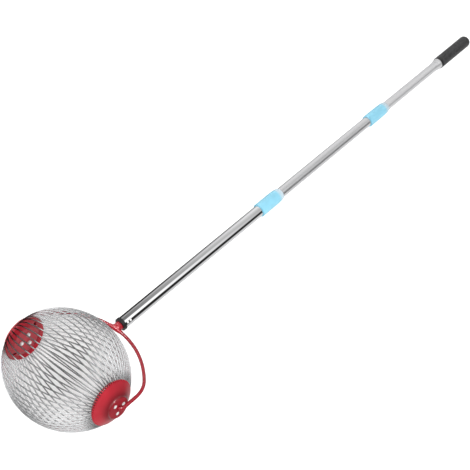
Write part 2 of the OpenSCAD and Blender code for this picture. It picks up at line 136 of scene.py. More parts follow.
def revolve(profile, origin, axis, out, sides):
    """A closed solid turned about an axis, from (distance, radius) pairs in mm."""
    across = axis.cross(out)
    verts = []
    for distance, radius in profile:
        for turn in turns(sides):
            aside = math.cos(turn) * out + math.sin(turn) * across
            verts.append(origin + MM * (distance * axis + radius * aside))
    return verts, ring_faces(len(profile), sides)


def joined(shapes):
    """Several (vertices, faces) pairs as one."""
    verts, faces = [], []
    for more_verts, more_faces in shapes:
        base = len(verts)
        verts += more_verts
        faces += [tuple(base + k for k in face) for face in more_faces]
    return verts, faces


def new_object(name, shape):
    """An object in the scene from a (vertices, faces) pair."""
    mesh = bpy.data.meshes.new(name)
    mesh.from_pydata([tuple(v) for v in shape[0]], [], shape[1])
    mesh.update()
    piece = bpy.data.objects.new(name, mesh)
    bpy.context.scene.collection.objects.link(piece)
    return piece


def settle(piece):
    """Applies a piece's modifiers to its mesh."""
    seen = piece.evaluated_get(bpy.context.evaluated_depsgraph_get())
    mesh = bpy.data.meshes.new_from_object(seen)
    piece.modifiers.clear()
    old = piece.data
    piece.data = mesh
    bpy.data.meshes.remove(old)
    mesh.name = piece.name


def cut(piece, shape):
    """Cuts a closed shape out of a piece."""
    tool = new_object("tool", shape)
    change = piece.modifiers.new("cut", "BOOLEAN")
    change.operation = "DIFFERENCE"
    change.solver = "EXACT"
    change.object = tool
    settle(piece)
    mesh = tool.data
    bpy.data.objects.remove(tool)
    bpy.data.meshes.remove(mesh)


def smooth(piece, angle=None):
    """Smooth shading, with edges sharper than an angle kept sharp."""
    piece.data.polygons.foreach_set("use_smooth", [True] * len(piece.data.polygons))
    if angle is not None:
        piece.data.set_sharp_from_angle(angle=math.radians(angle))
    piece.data.update()


def finish_piece(piece, material, body, slot, *replaced):
    """Gives a piece its material and body, and hides the nodes that it stands for. The slot is not used."""
    piece.data.materials.clear()
    piece.data.materials.append(material)
    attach(piece, body)
    if replaced:
        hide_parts(*replaced)


# Node helpers, for a material or the world

def new_material(name, **values):
    """A principled material whose constant values are set on the shader itself."""
    material = bpy.data.materials.new(name)
    material.use_nodes = True
    for key, value in values.items():
        shader_of(material).inputs[key.replace("_", " ")].default_value = value
    return material


def shader_of(material):
    return material.node_tree.nodes["Principled BSDF"]


def add_node(owner, kind, **inputs):
    """A node with some of its sockets set."""
    node = owner.node_tree.nodes.new(kind)
    for key, value in inputs.items():
        node.inputs[key.replace("_", " ")].default_value = value
    return node


def link(owner, source, target):
    owner.node_tree.links.new(source, target)


def calculated(owner, kind, operation, values, result):
    """A node that calculates with sockets or plain values."""
    node = add_node(owner, kind)
    node.operation = operation
    for socket, value in zip(node.inputs, values):
        if isinstance(value, bpy.types.NodeSocket):
            link(owner, value, socket)
        else:
            socket.default_value = value
    return node.outputs[result]


def number_math(owner, operation, *values):
    return calculated(owner, "ShaderNodeMath", operation, values, "Value")


def vector_math(owner, operation, *values):
    return calculated(owner, "ShaderNodeVectorMath", operation, values, "Vector")


def measure(owner, operation, *values):
    """A number taken from vectors."""
    return calculated(owner, "ShaderNodeVectorMath", operation, values, "Value")


def mapped(owner, value, **limits):
    """A value carried over from one range to another and held at its ends."""
    node = add_node(owner, "ShaderNodeMapRange", **limits)
    link(owner, value, node.inputs["Value"])
    return node.outputs["Result"]


def mixed(owner, fac, first, second, blend="MIX"):
    """Two colours mixed by a socket or a number."""
    node = add_node(owner, "ShaderNodeMixRGB")
    node.blend_type = blend
    if isinstance(fac, bpy.types.NodeSocket):
        link(owner, fac, node.inputs["Fac"])
    else:
        node.inputs["Fac"].default_value = fac
    link(owner, first, node.inputs["Color1"])
    link(owner, second, node.inputs["Color2"])
    return node.outputs["Color"]


def in_mirrors(owner, plain, mirrored, output):
    """Shows one shader to mirrors and another to all else, and gives the node that sorts the rays."""
    ray = add_node(owner, "ShaderNodeLightPath")
    choose = add_node(owner, "ShaderNodeMixShader")
    link(owner, ray.outputs["Is Glossy Ray"], choose.inputs["Fac"])
    link(owner, plain, choose.inputs[1])
    link(owner, mirrored, choose.inputs[2])
    link(owner, choose.outputs["Shader"], owner.node_tree.nodes[output].inputs["Surface"])
    return ray


def place(material, stretch=(1, 1, 1), along_pole=False):
    """Object coordinates in metres, turned so that X runs along the pole if asked, then stretched."""
    coords = add_node(material, "ShaderNodeTexCoord")
    turn = add_node(material, "ShaderNodeMapping", Rotation=(0, -POLE_DIP if along_pole else 0, 0))
    scale = add_node(material, "ShaderNodeMapping", Scale=stretch)
    link(material, coords.outputs["Object"], turn.inputs["Vector"])
    link(material, turn.outputs["Vector"], scale.inputs["Vector"])
    return scale.outputs["Vector"]


def noise(material, vector, scale, detail=3.0, roughness=0.5):
    node = add_node(material, "ShaderNodeTexNoise", Scale=scale, Detail=detail, Roughness=roughness)
    link(material, vector, node.inputs["Vector"])
    return node.outputs["Fac"]


def greys(stops):
    """Colour stops from (place, level) pairs."""
    return [(stop, (level,) * 3) for stop, level in stops]


def ramp(owner, fac, stops):
    """A colour ramp from (place, colour) stops."""
    node = add_node(owner, "ShaderNodeValToRGB")
    elements = node.color_ramp.elements
    while len(elements) < len(stops):
        elements.new(0.5)
    for element, (position, colour) in zip(elements, stops):
        element.position = position
        element.color = (*colour, 1)
    link(owner, fac, node.inputs["Fac"])
    return node.outputs["Color"]


def length_ramp(material, length, stops):
    """A colour ramp over a length, from (mm, colour) stops."""
    first, last = stops[0][0], stops[-1][0]
    way = mapped(material, length, From_Min=first * MM, From_Max=last * MM)
    return ramp(material, way, [((stop - first) / (last - first), colour) for stop, colour in stops])


def arm_from(material, point):
    """The vector from a point to the place that is shaded."""
    coords = add_node(material, "ShaderNodeTexCoord")
    return vector_math(material, "SUBTRACT", coords.outputs["Object"], point)


def along_ramp(material, stops):
    """A colour ramp along the pole, from (mm from the axle, colour) stops."""
    along = measure(material, "DOT_PRODUCT", arm_from(material, AXLE), POLE)
    return length_ramp(material, along, stops)


def line_ramp(material, point, direction, stops):
    """Greys by the distance from a line, from (mm, level) stops."""
    arm = arm_from(material, point)
    off = vector_math(material, "SUBTRACT", arm, vector_math(material, "PROJECT", arm, direction))
    return length_ramp(material, measure(material, "LENGTH", off), greys(stops))


def oval_ramp(material, point, wide, high, stops):
    """Greys by the distance from a line, measured across two directions whose lengths are their weights."""
    arm = arm_from(material, point)
    both = add_node(material, "ShaderNodeCombineXYZ")
    link(material, measure(material, "DOT_PRODUCT", arm, wide), both.inputs["X"])
    link(material, measure(material, "DOT_PRODUCT", arm, high), both.inputs["Y"])
    return length_ramp(material, measure(material, "LENGTH", both.outputs["Vector"]), greys(stops))


def tinted(material, tint):
    """Multiplies a material's colour by a tint."""
    colour = shader_of(material).inputs["Base Color"]
    link(material, mixed(material, 1.0, colour.links[0].from_socket, tint, "MULTIPLY"), colour)
    return material


# Materials

LINES_ALONG = (3, 400, 400)
LINES_ALL_WAYS = (300, 300, 300)
METAL_CLOUDS = 45.0
METAL_DRIFT = [(0.25, 0.9), (0.75, 1.06)]
PLASTIC_CLOUDS = 38.0
PLASTIC_DRIFT = [(0.3, 0.92), (0.7, 1.06)]
PLASTIC_RELIEF = 0.2
COAT_ROUGHNESS = 0.12


def shades(colour, stops):
    """Colour stops from (place, factor) pairs."""
    return [(stop, tuple(min(1, channel * factor) for channel in colour)) for stop, factor in stops]


def dress(material, drift, colours, clouds, rough, relief, strength, grain):
    """Links a drift of colour, an uneven roughness and a fine relief to a material's shader."""
    shader = shader_of(material)
    link(material, ramp(material, drift, colours), shader.inputs["Base Color"])
    link(material, mapped(material, clouds, To_Min=rough[0], To_Max=rough[1]), shader.inputs["Roughness"])
    node = add_node(material, "ShaderNodeBump", Strength=strength, Distance=grain)
    link(material, relief, node.inputs["Height"])
    link(material, node.outputs["Normal"], shader.inputs["Normal"])
    return material


def metal(name, colour, rough, grain, along_pole=True, lines=0.15, metallic=1.0):
    """Metal with drawing lines, along the pole or all ways, and a roughness that varies a little."""
    material = new_material(name, Metallic=metallic)
    stretch = LINES_ALONG if along_pole else LINES_ALL_WAYS
    streaks = noise(material, place(material, stretch, along_pole), 1.0, 4.0, 0.6)
    clouds = noise(material, place(material), METAL_CLOUDS, 2.0)
    return dress(material, streaks, shades(colour, METAL_DRIFT), clouds, rough, streaks, lines, grain)


def plastic(name, colour, rough, grain_scale, grain, coat=0.0):
    """Moulded plastic: fine grain, slight colour drift and uneven gloss."""
    material = new_material(name, Coat_Weight=coat, Coat_Roughness=COAT_ROUGHNESS)
    clouds = noise(material, place(material), PLASTIC_CLOUDS)
    fine = noise(material, place(material), grain_scale, 2.0)
    return dress(material, clouds, shades(colour, PLASTIC_DRIFT), clouds, rough, fine, PLASTIC_RELIEF, grain)


# A collar is painted darker at its mouth, a painted shade, in mm from there, and is paler where its wall thins out
COLLAR_BLUE = (0.248, 0.565, 0.72)
COLLAR_MOUTH_SHADE_AND_PALE_END = [
    (0, (0.75, 0.84, 0.86)), (0.9, (0.8, 0.88, 0.9)), (1.8, (1, 1, 1)),
    (48, (1, 1, 1)), (53, (1.9, 1.08, 0.95)), (COLLAR_LEN, (2.1, 1.1, 0.95)),
]


def collar_blue(name, start):
    material = plastic(name, COLLAR_BLUE, (0.28, 0.4), 1600, 0.0001, coat=0.2)
    return tinted(material, along_ramp(material, [(start + stop, tint) for stop, tint in COLLAR_MOUTH_SHADE_AND_PALE_END]))


# The wires' colour carries painted reflections of dark parts of the room, fixed on the cage: a dark band across the
# cage that turns a little lighter towards its edges, and dark ovals at the far and the near cap
GLOOM_WAY = Vector((-0.276, -0.562, 0.779)).normalized()
GLOOM_ACROSS = GLOOM_WAY.cross(AXLE_DIR).normalized()
GLOOM_SIDE = GLOOM_ACROSS.cross(GLOOM_WAY)
BAND_SHIFT = 4
BAND_NARROW = 1.38
BAND_LONG = 0.68
BAND_PAINTED_REFLECTION = [(0, 0.2), (31, 0.22), (70, 1.04), (110, 1.14)]
CAP_Y = 108
CAP_NARROW = 1.6
FAR_CAP_PAINTED_REFLECTION = [(0, 0.13), (34, 0.14), (44, 1), (50, 1)]
NEAR_CAP_PAINTED_REFLECTION = [(0, 0.35), (46, 0.4), (62, 1), (66, 1)]

WIRE = metal("wire_steel", (0.84, 0.85, 0.86), (0.08, 0.16), 0.00005, along_pole=False, lines=0.1, metallic=0.9)
tinted(WIRE, oval_ramp(
    WIRE, AXLE + MM * BAND_SHIFT * GLOOM_SIDE, BAND_NARROW * GLOOM_SIDE, BAND_LONG * GLOOM_ACROSS, BAND_PAINTED_REFLECTION,
))
for cap_y, painted_reflection in ((CAP_Y, FAR_CAP_PAINTED_REFLECTION), (-CAP_Y, NEAR_CAP_PAINTED_REFLECTION)):
    tinted(WIRE, oval_ramp(WIRE, AXLE + MM * cap_y * AXLE_DIR, CAP_NARROW * GLOOM_SIDE, GLOOM_ACROSS, painted_reflection))

CHROME = metal("chrome_tube", (0.88, 0.88, 0.89), (0.03, 0.06), 0.00002)
STEEL = metal("steel_tube", (0.72, 0.72, 0.73), (0.16, 0.22), 0.00004, metallic=0.8)
ALUMINIUM = metal("aluminium_tube", (0.68, 0.68, 0.69), (0.28, 0.36), 0.00006, metallic=0.6)
FASTENER = metal("fastener_steel", (0.92, 0.92, 0.91), (0.24, 0.36), 0.0001, along_pole=False, metallic=0.5)
NUT = metal("nut_steel", (0.62, 0.62, 0.61), (0.3, 0.42), 0.0001, along_pole=False, metallic=0.6)

# A rivet's head is painted dark round its foot, a painted shade where it meets the tube, by the distance from the
# pole's axis
RIVET = metal("rivet_steel", (0.95, 0.95, 0.94), (0.2, 0.3), 0.0001, along_pole=False, metallic=0.3)
RIVET_FOOT_SHADE = [(TUBE_R, 0.06), (TUBE_R + 0.45, 0.12), (TUBE_R + 0.7, 1), (TUBE_R + RIVET_RISE, 1)]
tinted(RIVET, line_ramp(RIVET, AXLE, POLE, RIVET_FOOT_SHADE))

# The caps and clamp discs are painted darker in their corners, a painted shade, by the distance from the axle
CRIMSON = (0.34, 0.011, 0.022)
CAP_PAINTED_SHADE = [(0, 0.68), (19.2, 0.72), (20.4, 0.42), (23.5, 0.55), (30, 0.92), (36, 1.02), (44, 1.02)]
INNER_PAINTED_SHADE = [(0, 0.9), (21, 0.85), (26, 0.74), (35, 0.78), (38, 0.9), (46, 0.95)]
RED = plastic("red_plastic", CRIMSON, (0.3, 0.42), 1800, 0.0001, coat=0.1)
CAP_RED = plastic("red_cap", CRIMSON, (0.3, 0.42), 1800, 0.0001, coat=0.1)
tinted(CAP_RED, line_ramp(CAP_RED, AXLE, AXLE_DIR, CAP_PAINTED_SHADE))
INNER_RED = plastic("red_inner", CRIMSON, (0.24, 0.34), 1500, 0.0001, coat=0.2)
tinted(INNER_RED, line_ramp(INNER_RED, AXLE, AXLE_DIR, INNER_PAINTED_SHADE))
RED_ROD = plastic("red_coating", (0.262, 0.004, 0.014), (0.14, 0.22), 700, 0.0002, coat=0.45)

BLACK = plastic("black_plastic", (0.012, 0.012, 0.013), (0.38, 0.5), 2200, 0.0001)
BLUE_LOWER = collar_blue("blue_lower", LOWER_COLLAR_X)
BLUE_UPPER = collar_blue("blue_upper", UPPER_COLLAR_X)
NYLON = plastic("white_plastic", (0.75, 0.75, 0.72), (0.4, 0.5), 1800, 0.0001)

# The grip is mottled, and painted dark over its rolled mouth and the groove behind it, a painted shade
MOTTLE_SCALE = 420.0
MOTTLE_TINTS = [(0.38, 0.3), (0.62, 1.7)]
MOUTH_PAINTED_SHADE = [(GRIP_X, 0.08), (GRIP_X + 3.8, 0.1), (GRIP_X + 5, 1), (GRIP_END_X, 1)]
SHEEN = 0.3
RUBBER = plastic("grip_rubber", (0.03, 0.03, 0.031), (0.5, 0.65), 1500, 0.0004)
mottle = noise(RUBBER, place(RUBBER), MOTTLE_SCALE, 3.0, 0.6)
tinted(RUBBER, ramp(RUBBER, mottle, greys(MOTTLE_TINTS)))
tinted(RUBBER, along_ramp(RUBBER, greys(MOUTH_PAINTED_SHADE)))
shader_of(RUBBER).inputs["Sheen Weight"].default_value = SHEEN
shader_of(RUBBER).inputs["Sheen Roughness"].default_value = SHEEN

FINISHES = {
    "bail": RED_ROD,
    "tube_end_plug": BLACK,
    "lower_tube": CHROME,
    "lower_collar": BLUE_LOWER,
    "mid_tube": STEEL,
    "mid_lock_spindle": NYLON,
    "mid_lock_ring": NYLON,
    "upper_collar": BLUE_UPPER,
    "top_tube": ALUMINIUM,
    "top_lock_spindle": NYLON,
    "top_lock_ring": NYLON,
}
for side in SIDES:
    FINISHES[f"{side}_end_cap"] = CAP_RED
    FINISHES[f"{side}_clamp_disc"] = INNER_RED
    FINISHES[f"{side}_retaining_clip"] = FASTENER

for name, material in FINISHES.items():
    mesh = nodes[name].data
    mesh.materials.clear()
    mesh.materials.append(material)


# Cage wires: long arcs with a hook at each end

ARC_STEPS = 52
HOOK_STEPS = 6
WIRE_SIDES = 10


def wire_path():
    """Points of one wire in mm, as (distance from the axle, distance along the axle)."""
    rim_y = RIM_SPAN / 2
    cage_r = (CAGE_D - WIRE_D) / 2
    arc_turn = 2 * math.atan((cage_r - RIM_D / 2) / rim_y)
    arc_r = rim_y / math.sin(arc_turn)
    end_turn = arc_turn + TAIL_LEN / arc_r
    middle = cage_r - arc_r
    arc = []
    for k in range(ARC_STEPS + 1):
        turn = end_turn * (2 * k / ARC_STEPS - 1)
        arc.append((middle + arc_r * math.cos(turn), arc_r * math.sin(turn)))
    hook = []
    for k in range(1, HOOK_STEPS + 1):
        turn = end_turn + math.pi / 2 * k / HOOK_STEPS
        out = middle + (arc_r - HOOK_R) * math.cos(end_turn) + HOOK_R * math.cos(turn)
        hook.append((out, (arc_r - HOOK_R) * math.sin(end_turn) + HOOK_R * math.sin(turn)))
    return [(out, -along) for out, along in reversed(hook)] + arc + hook


def wires():
    flat_path = wire_path()
    radii = [MM * WIRE_D / 2] * len(flat_path)
    shapes = []
    for k in range(WIRE_COUNT):
        turn = math.radians(90 - (k + 0.5) * WIRE_PITCH)
        outward = Vector((math.cos(turn), 0, -math.sin(turn)))
        path = [AXLE + MM * (out * outward + along * AXLE_DIR) for out, along in flat_path]
        shapes.append(sweep(path, radii, outward.cross(AXLE_DIR), WIRE_SIDES))
    return joined(shapes)


wire_piece = new_object("spring_wires", wires())
smooth(wire_piece, 50)
finish_piece(wire_piece, WIRE, "cage", "wire_steel", "cage_wires_1", "cage_wires_2", "cage_wires_3")


# Pole socket: a moulding that flows from the bail into the neck

SOCKET_HALF = 15
SOCKET_SLEEVE_R = 4.5
SOCKET_TIP_R = 3.4
SOCKET_TIP_POWER = 1.5
SOCKET_WEB = 5.5
SOCKET_WEB_SHARE = 0.62
SOCKET_WEB_GAP = 0.5
SLEEVE_STEPS = 40
WEB_STEPS = 14
SOCKET_SIDES = 24
NECK_SIDES = 48
NECK_TAPER = 4
NECK_STRAIGHT = 5
SOCKET_VOXEL = 0.4
SOFTEN_FACTOR = 0.5
SOFTEN_ROUNDS = 14


def bow_point(turn):
    """A point on the middle line of the bail's bow."""
    middle = BAIL_REACH - BAIL_R
    return pole_point(middle + BAIL_R * math.cos(turn), BAIL_R * math.sin(turn), 0)


def socket_sleeve():
    """A bar round the bail's middle that gets thinner towards both ends."""
    path, radii = [], []
    for k in range(SLEEVE_STEPS + 1):
        share = 2 * k / SLEEVE_STEPS - 1
        swell = math.cos(share * math.pi / 2) ** SOCKET_TIP_POWER
        path.append(bow_point(share * SOCKET_HALF / BAIL_R))
        radii.append(MM * (SOCKET_TIP_R + (SOCKET_SLEEVE_R - SOCKET_TIP_R) * swell))
    return sweep(path, radii, POLE_UP, SOCKET_SIDES)


def socket_web():
    """Flattened rings that widen from the neck towards the bail."""
    verts = []
    length = PLUG_X - SOCKET_WEB_GAP - BAIL_REACH
    for k in range(WEB_STEPS + 1):
        share = k / WEB_STEPS
        along = BAIL_REACH + length * share
        wide = NECK_D / 2 + SOCKET_WEB * (1 - math.sin(min(1, share / SOCKET_WEB_SHARE) * math.pi / 2))
        high = SOCKET_SLEEVE_R + (NECK_D / 2 - SOCKET_SLEEVE_R) * math.sin(share * math.pi / 2)
        for turn in turns(SOCKET_SIDES):
            verts.append(pole_point(along, wide * math.cos(turn), high * math.sin(turn)))
    return verts, ring_faces(WEB_STEPS + 1, SOCKET_SIDES)


neck = [
    (BAIL_REACH, NECK_D / 2 - NECK_TAPER), (PLUG_X - NECK_STRAIGHT, NECK_D / 2), (PLUG_X, NECK_D / 2),
    (PLUG_X, STUD_D / 2), (PLUG_X + STUD_LEN, STUD_D / 2),
]
socket_piece = new_object("socket_moulding", joined([
    socket_sleeve(),
    socket_web(),
    revolve(neck, AXLE, POLE, POLE_UP, NECK_SIDES),
]))
remesh = socket_piece.modifiers.new("blend", "REMESH")
remesh.mode = "VOXEL"
remesh.voxel_size = SOCKET_VOXEL * MM
soften = socket_piece.modifiers.new("soften", "SMOOTH")
soften.factor = SOFTEN_FACTOR
soften.iterations = SOFTEN_ROUNDS
settle(socket_piece)
smooth(socket_piece)
finish_piece(socket_piece, RED, "pole_base", "red_plastic", "pole_socket")


# Cap screws with cross recesses, and their nuts

SCREW_SIDES = 32
SCREW_BEVEL = 0.5
HEAD_STEPS = 6
SLOT_LEN = 4.4
SLOT_W = 1.0
SLOT_DEPTH = 1.2
SLOT_FOOT = 0.45
SLOT_MOUTH = 1.25
SLOT_ABOVE = 1
NUT_SIDES = 6
NUT_STEPS = 48
NUT_BEVEL = 0.35
NUT_BEVEL_SHARE = 0.86


def cap_place(side):
    """The axis out of a cap and the direction of its first screw."""
    if side == "left":
        return Vector((0, -1, 0)), Vector((1, 0, 0))
    turn = math.radians(-RIGHT_CAP_PITCHES * WIRE_PITCH)
    return Vector((0, 1, 0)), Vector((math.cos(turn), 0, -math.sin(turn)))


def screw_spots(side):
    """The foot of each screw's axis on the cage's middle plane, its axis and a direction across it."""
    axis, first = cap_place(side)
    across = axis.cross(first)
    spots = []
    for turn in turns(SCREW_COUNT):
        out = math.cos(turn) * first - math.sin(turn) * across
        spots.append((AXLE + MM * SCREW_CIRCLE_R * out, axis, out))
    return spots


def screw_shape(origin, axis, out):
    """A screw from its bevelled tip to its rounded head."""
    tip = FLAT_H - NUT_H - SCREW_TIP
    edge = HEAD_H / 2
    profile = [
        (tip, SCREW_D / 2 - SCREW_BEVEL), (tip + SCREW_BEVEL, SCREW_D / 2),
        (HUB_H - HEAD_H, SCREW_D / 2), (HUB_H - HEAD_H, HEAD_D / 2),
    ]
    for k in range(HEAD_STEPS + 1):
        turn = math.pi / 2 * k / HEAD_STEPS
        profile.append((HUB_H - edge + edge * math.sin(turn), HEAD_D / 2 - edge + edge * math.cos(turn)))
    return revolve(profile, origin, axis, out, SCREW_SIDES)


def cross_slot(origin, axis, out):
    """Two tapered blades that cut the cross recess of a screw head."""
    across = axis.cross(out)
    blades = []
    for main, minor in ((out, across), (across, out)):
        verts = []
        for height, share in ((HUB_H - SLOT_DEPTH, SLOT_FOOT), (HUB_H + SLOT_ABOVE, SLOT_MOUTH)):
            for a, b in ((-1, -1), (1, -1), (1, 1), (-1, 1)):
                corner = MM * (a * share * SLOT_LEN / 2 * main + b * SLOT_W / 2 * minor)
                verts.append(origin + MM * height * axis + corner)
        faces = ring_faces(2, 4)
        if main.cross(minor).dot(axis) < 0:
            faces = [tuple(reversed(face)) for face in faces]
        blades.append((verts, faces))
    return blades


def nut_shape(origin, axis, out):
    """A hexagon nut as a stack of rings, whose corners are cut back at both ends."""
    across = axis.cross(out)
    half_side = math.pi / NUT_SIDES
    levels = [(0, NUT_BEVEL_SHARE), (NUT_BEVEL, 1.0), (NUT_H - NUT_BEVEL, 1.0), (NUT_H, NUT_BEVEL_SHARE)]
    verts = []
    for height, corner in levels:
        for turn in turns(NUT_STEPS):
            flat = math.cos(half_side) / math.cos(turn % (2 * half_side) - half_side)
            radius = NUT_D / 2 * min(flat, 0.5 * (1 + flat) * corner)
            aside = math.cos(turn) * out + math.sin(turn) * across
            verts.append(origin + MM * ((FLAT_H - NUT_H + height) * axis + radius * aside))
    return verts, ring_faces(len(levels), NUT_STEPS)


for side in SIDES:
    screws = new_object(f"{side}_screws", joined([screw_shape(*spot) for spot in screw_spots(side)]))
    for spot in screw_spots(side):
        for blade in cross_slot(*spot):
            cut(screws, blade)
    smooth(screws, 35)
    finish_piece(screws, FASTENER, "cage", "fastener_steel", f"{side}_cap_screws")

for side in SIDES:
    nuts = new_object(f"{side}_nuts", joined([nut_shape(*spot) for spot in screw_spots(side)]))
    smooth(nuts, 25)
    finish_piece(nuts, NUT, "cage", "fastener_steel", f"{side}_cap_nuts")


# Rivets: domed heads on short shanks, given in mm from the tube's face and shares of the radius

RIVET_SHANK = [(-1, 0.6), (-0.5, 0.96)]
RIVET_SUNK = 0.1
RIVET_STEPS = 8
RIVET_SIDES = 32


def rivet_head(along):
    """A low dome that stands out of the tube, at a distance from the tube's end."""
    lean = math.radians(RIVET_TURN)
    out = math.cos(lean) * POLE_UP - math.sin(lean) * AXLE_DIR
    profile = [(TUBE_R + level, RIVET_R * share) for level, share in RIVET_SHANK]
    for k in range(RIVET_STEPS):
        turn = math.pi / 2 * k / RIVET_STEPS
        rise = (RIVET_RISE + RIVET_SUNK) * math.sin(turn)
        profile.append((TUBE_R - RIVET_SUNK + rise, RIVET_R * math.cos(turn)))
    return revolve(profile, AXLE + MM * (TUBE_X + along) * POLE, out, POLE, RIVET_SIDES)


rivets = new_object("rivet_heads", joined([rivet_head(along) for along in RIVET_PLACES]))
smooth(rivets, 40)
finish_piece(rivets, RIVET, "pole_base", "fastener_steel", "plug_rivets")


# Ferrule: a flare with two fine grooves

FERRULE_FIT = 0.05
FERRULE_WALL = 0.63
FERRULE_STEPS = 36
FERRULE_SIDES = 64
GROOVE_DEPTH = 0.16
GROOVE_WIDTH = 0.035
GROOVE_PLACES = (0.42, 0.62)


def ferrule_profile():
    """Distance along the pole and radius, with the grooves at shares of the length."""
    length = GRIP_X - FERRULE_X
    thin = TOP_TUBE_R + FERRULE_WALL
    bore = TOP_TUBE_R + FERRULE_FIT
    profile = [(FERRULE_X, bore)]
    for k in range(FERRULE_STEPS + 1):
        share = k / FERRULE_STEPS
        radius = thin + (FERRULE_R - thin) * (1 - math.cos(math.pi * share)) / 2
        groove = sum(GROOVE_DEPTH * math.exp(-((share - middle) / GROOVE_WIDTH) ** 2) for middle in GROOVE_PLACES)
        profile.append((FERRULE_X + length * share, radius - groove))
    return profile + [(GRIP_X, bore)]


ferrule = new_object("flared_ferrule", revolve(ferrule_profile(), AXLE, POLE, POLE_UP, FERRULE_SIDES))
smooth(ferrule, 50)
finish_piece(ferrule, ALUMINIUM, "top_pole", "aluminium_tube", "grip_ferrule")


# Grip: a rolled mouth, in mm from its start and inside its radius, a long fluted body and a rounded end

GRIP_FIT = 0.1
GRIP_MOUTH = [(0, 1.2), (0.4, 0.4), (1.2, 0), (2.6, 0), (3.2, 0.5), (3.9, 0.5), (4.6, 0)]
GRIP_SIDES = 120
DOME_STEPS = 14
FLUTE_COUNT = 20
FLUTE_DEPTH = 0.3
FLUTE_START = 8
FLUTE_STOP = 4
FLUTE_ROWS = 24


def grip_shape():
    """Rings of (distance along the pole, radius, whether it is fluted), from the mouth to the end."""
    body_end = GRIP_END_X - GRIP_DOME
    fluted_len = body_end - FLUTE_STOP - GRIP_X - FLUTE_START
    rows = [(GRIP_X, TOP_TUBE_R + GRIP_FIT, 0)]
    rows += [(GRIP_X + along, GRIP_R - inside, 0) for along, inside in GRIP_MOUTH]
    for k in range(FLUTE_ROWS + 1):
        rows.append((GRIP_X + FLUTE_START + fluted_len * k / FLUTE_ROWS, GRIP_R, 1))
    for k in range(DOME_STEPS):
        turn = math.pi / 2 * k / DOME_STEPS
        rows.append((body_end + GRIP_DOME * math.sin(turn), GRIP_R - GRIP_DOME * (1 - math.cos(turn)), 0))
    rows.append((GRIP_END_X, GRIP_R - GRIP_DOME, 0))
    verts = []
    for along, radius, fluted in rows:
        for turn in turns(GRIP_SIDES):
            reach = radius - fluted * FLUTE_DEPTH * max(0, math.cos(FLUTE_COUNT * turn)) ** 2
            verts.append(pole_point(along, reach * math.cos(turn), reach * math.sin(turn)))
    return verts, ring_faces(len(rows), GRIP_SIDES)


grip = new_object("grip_sleeve", grip_shape())
smooth(grip, 50)
finish_piece(grip, RUBBER, "top_pole", "grip_rubber", "handle_grip")


# Floor: white paper that glows more the farther it is from the cage, which makes up for the key light's fall, with
# a painted shadow greying it under the cage

FLOOR_HALF = 6.0
UP = (0, 0, 1)
GLOW_CENTRE = (-0.497, 0.071, 0)
GLOW_STOPS = [(0, 0.05), (70, 0.06), (150, 0.22), (1300, 0.55), (3000, 0.9), (6000, 1.0)]
PAINTED_SHADOW_CENTRE = (-0.516, 0.033, 0)
PAINTED_SHADOW_STOPS = [(0, 0.76), (60, 0.8), (120, 1.0)]
PAPER_GREY = 0.75
PAPER_DARK = 0.02
PAPER_NEAR = 0.08
PAPER_FAR = 0.2

floor_corners = [(a * FLOOR_HALF, b * FLOOR_HALF, 0) for a, b in ((-1, -1), (1, -1), (1, 1), (-1, 1))]
floor = new_object("floor", (floor_corners, [(0, 1, 2, 3)]))
FLOOR = new_material("floor_paper", Roughness=0.9, Specular_IOR_Level=0.1, Emission_Color=(1, 1, 1, 1))
floor.data.materials.append(FLOOR)

paper = shader_of(FLOOR)
link(FLOOR, line_ramp(FLOOR, GLOW_CENTRE, UP, GLOW_STOPS), paper.inputs["Emission Strength"])
# A painted shadow: the paper's colour is greyer under the cage
link(FLOOR, line_ramp(FLOOR, PAINTED_SHADOW_CENTRE, UP, PAINTED_SHADOW_STOPS), paper.inputs["Base Color"])

# In mirrors the paper is a grey strip that falls off to the dark room on both sides
floor_place = add_node(FLOOR, "ShaderNodeTexCoord")
floor_split = add_node(FLOOR, "ShaderNodeSeparateXYZ")
link(FLOOR, floor_place.outputs["Object"], floor_split.inputs["Vector"])
floor_aside = number_math(FLOOR, "ABSOLUTE", floor_split.outputs["Y"])
paper_mirrored = add_node(FLOOR, "ShaderNodeEmission")
paper_level = mapped(
    FLOOR, floor_aside, From_Min=PAPER_NEAR, From_Max=PAPER_FAR, To_Min=PAPER_GREY, To_Max=PAPER_DARK,
)
link(FLOOR, paper_level, paper_mirrored.inputs["Strength"])
in_mirrors(FLOOR, paper.outputs["BSDF"], paper_mirrored.outputs["Emission"], "Material Output")


# Light: each lamp's place, aim and size in metres, and its power in watts

KEY_LAMP = ((-1.415, -1.798, 2.591), (-0.45, 0, 0.05), (0.25, 0.25), 124)
GLINT_LAMP = ((-0.5, 0.35, 1.5), (-0.45, 0, 0.1), (0.35, 1.4), 26)
FILL_LAMP = ((0.4, 2.0, 1.3), (-0.2, 0, 0.1), (1.5, 1.0), 40)
SHADING = ("left_end_cap", "right_end_cap", "left_clamp_disc", "right_clamp_disc")
COATED = ("bail", "left_end_cap", "right_end_cap", "lower_collar", "upper_collar")


def area_light(name, place_m, aim_m, size, power):
    """A soft light aimed at a point, which mirrors don't see."""
    data = bpy.data.lights.new(name, "AREA")
    data.shape = "RECTANGLE"
    data.size, data.size_y = size
    data.energy = power
    lamp = bpy.data.objects.new(name, data)
    lamp.location = place_m
    lamp.rotation_euler = (Vector(aim_m) - Vector(place_m)).to_track_quat("-Z", "Y").to_euler()
    lamp.visible_glossy = False
    bpy.context.scene.collection.objects.link(lamp)
    return lamp


def grouped(name, pieces):
    """A collection of pieces, for a lamp to light or to be shaded by."""
    group = bpy.data.collections.new(name)
    for piece in pieces:
        group.objects.link(piece)
    return group


